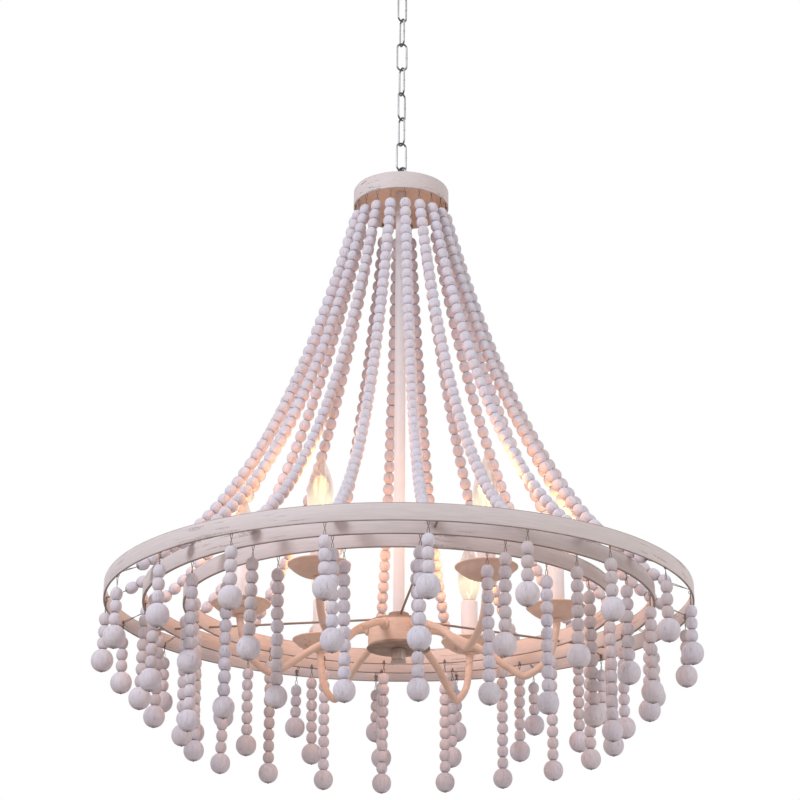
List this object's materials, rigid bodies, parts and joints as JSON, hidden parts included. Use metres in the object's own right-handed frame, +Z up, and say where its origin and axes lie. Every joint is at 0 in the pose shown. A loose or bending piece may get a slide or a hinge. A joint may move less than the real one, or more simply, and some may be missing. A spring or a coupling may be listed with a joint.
{
  "type": "beaded chandelier",
  "caption": "Hanging chandelier with draped and hanging wooden bead strands on concentric flat rings, candle arms on a central hub, and a chain to a ceiling canopy.",
  "frame": {"origin": "the middle of the ceiling strap's upper face, on the ceiling, straight above the stem", "axes": "+Z up along the stem, -Y towards the side that the picture shows, +X to its right"},
  "size_m": [0.8194, 0.8194, 1.2192],
  "materials": {
    "painted_white": "matt off-white distressed paint with brown wear marks",
    "chrome_plate": "bright plated steel",
    "zinc_plate": "zinc-plated steel",
    "bead_wood": "whitewashed wood, matt, with a fine grain",
    "cream_paint": "cream paint, satin",
    "cream_sleeve": "cream candle sleeve, satin",
    "bulb_glass": "clear glass, lit warm"
  },
  "bodies": {
    "ceiling_mount": {"mounting_strap": "zinc_plate", "ceiling_canopy": "chrome_plate", "canopy_loop": "chrome_plate"},
    "link_1": {"chain_link_1": "chrome_plate"},
    "link_2": {"chain_link_2": "chrome_plate"},
    "link_3": {"chain_link_3": "chrome_plate"},
    "link_4": {"chain_link_4": "chrome_plate"},
    "link_5": {"chain_link_5": "chrome_plate"},
    "link_6": {"chain_link_6": "chrome_plate"},
    "link_7": {"chain_link_7": "chrome_plate"},
    "fixture": {"cap_loop": "chrome_plate", "top_cap": "painted_white", "centre_stem": "cream_paint", "hub_drum": "painted_white", "hub_bottom_plate": "painted_white", "ring_spokes": "painted_white", "outer_ring": "painted_white", "middle_ring": "painted_white", "inner_ring": "painted_white", "arm_1": "painted_white", "drip_pan_1": "painted_white", "candle_sleeve_1": "cream_sleeve", "arm_2": "painted_white", "drip_pan_2": "painted_white", "candle_sleeve_2": "cream_sleeve", "arm_3": "painted_white", "drip_pan_3": "painted_white", "candle_sleeve_3": "cream_sleeve", "arm_4": "painted_white", "drip_pan_4": "painted_white", "candle_sleeve_4": "cream_sleeve", "arm_5": "painted_white", "drip_pan_5": "painted_white", "candle_sleeve_5": "cream_sleeve", "arm_6": "painted_white", "drip_pan_6": "painted_white", "candle_sleeve_6": "cream_sleeve", "draped_strands_front_right": "bead_wood", "outer_strands_front_right": "bead_wood", "middle_strands_front_right": "bead_wood", "inner_strands_front_right": "bead_wood", "draped_strands_rear_right": "bead_wood", "outer_strands_rear_right": "bead_wood", "middle_strands_rear_right": "bead_wood", "inner_strands_rear_right": "bead_wood", "draped_strands_rear_left": "bead_wood", "outer_strands_rear_left": "bead_wood", "middle_strands_rear_left": "bead_wood", "inner_strands_rear_left": "bead_wood", "draped_strands_front_left": "bead_wood", "outer_strands_front_left": "bead_wood", "middle_strands_front_left": "bead_wood", "inner_strands_front_left": "bead_wood"},
    "bulb_1": {"bulb_1": "bulb_glass"},
    "bulb_2": {"bulb_2": "bulb_glass"},
    "bulb_3": {"bulb_3": "bulb_glass"},
    "bulb_4": {"bulb_4": "bulb_glass"},
    "bulb_5": {"bulb_5": "bulb_glass"},
    "bulb_6": {"bulb_6": "bulb_glass"},
    "finial": {"bottom_finial": "painted_white"}
  },
  "joints": [
    {"name": "chain_hinge_1", "type": "hinge", "parent": "ceiling_mount", "child": "link_1", "pos_m": [0, 0, -0.0593], "axis": [-0.5592, 0.829, 0], "range_deg": [-15, 15]},
    {"name": "chain_hinge_2", "type": "hinge", "parent": "link_1", "child": "link_2", "pos_m": [0, 0, -0.101], "axis": [0.829, 0.5592, 0], "range_deg": [-15, 15]},
    {"name": "chain_hinge_3", "type": "hinge", "parent": "link_2", "child": "link_3", "pos_m": [0, 0, -0.1433], "axis": [0.4067, -0.9135, 0], "range_deg": [-15, 15]},
    {"name": "chain_hinge_4", "type": "hinge", "parent": "link_3", "child": "link_4", "pos_m": [0, 0, -0.1856], "axis": [0.9848, 0.1736, 0], "range_deg": [-15, 15]},
    {"name": "chain_hinge_5", "type": "hinge", "parent": "link_4", "child": "link_5", "pos_m": [0, 0, -0.2279], "axis": [0.4695, -0.8829, 0], "range_deg": [-15, 15]},
    {"name": "chain_hinge_6", "type": "hinge", "parent": "link_5", "child": "link_6", "pos_m": [0, 0, -0.2702], "axis": [0.682, 0.7314, 0], "range_deg": [-15, 15]},
    {"name": "chain_hinge_7", "type": "hinge", "parent": "link_6", "child": "link_7", "pos_m": [0, 0, -0.3125], "axis": [0.5592, -0.829, 0], "range_deg": [-15, 15]},
    {"name": "chain_hinge_8", "type": "hinge", "parent": "link_7", "child": "fixture", "pos_m": [0, 0, -0.3548], "axis": [0.9397, 0.342, 0], "range_deg": [-15, 15]},
    {"name": "bulb_1_turn", "type": "hinge", "parent": "fixture", "child": "bulb_1", "pos_m": [0.11234, -0.18332, -0.9668], "axis": [0, 0, 1], "continuous": true},
    {"name": "bulb_2_turn", "type": "hinge", "parent": "fixture", "child": "bulb_2", "pos_m": [0.21493, 0.00563, -0.9668], "axis": [0, 0, 1], "continuous": true},
    {"name": "bulb_3_turn", "type": "hinge", "parent": "fixture", "child": "bulb_3", "pos_m": [0.10259, 0.18895, -0.9668], "axis": [0, 0, 1], "continuous": true},
    {"name": "bulb_4_turn", "type": "hinge", "parent": "fixture", "child": "bulb_4", "pos_m": [-0.11234, 0.18332, -0.9668], "axis": [0, 0, 1], "continuous": true},
    {"name": "bulb_5_turn", "type": "hinge", "parent": "fixture", "child": "bulb_5", "pos_m": [-0.21493, -0.00563, -0.9668], "axis": [0, 0, 1], "continuous": true},
    {"name": "bulb_6_turn", "type": "hinge", "parent": "fixture", "child": "bulb_6", "pos_m": [-0.10259, -0.18895, -0.9668], "axis": [0, 0, 1], "continuous": true},
    {"name": "finial_turn", "type": "hinge", "parent": "fixture", "child": "finial", "pos_m": [0, 0, -1.0928], "axis": [0, 0, 1], "continuous": true}
  ]
}
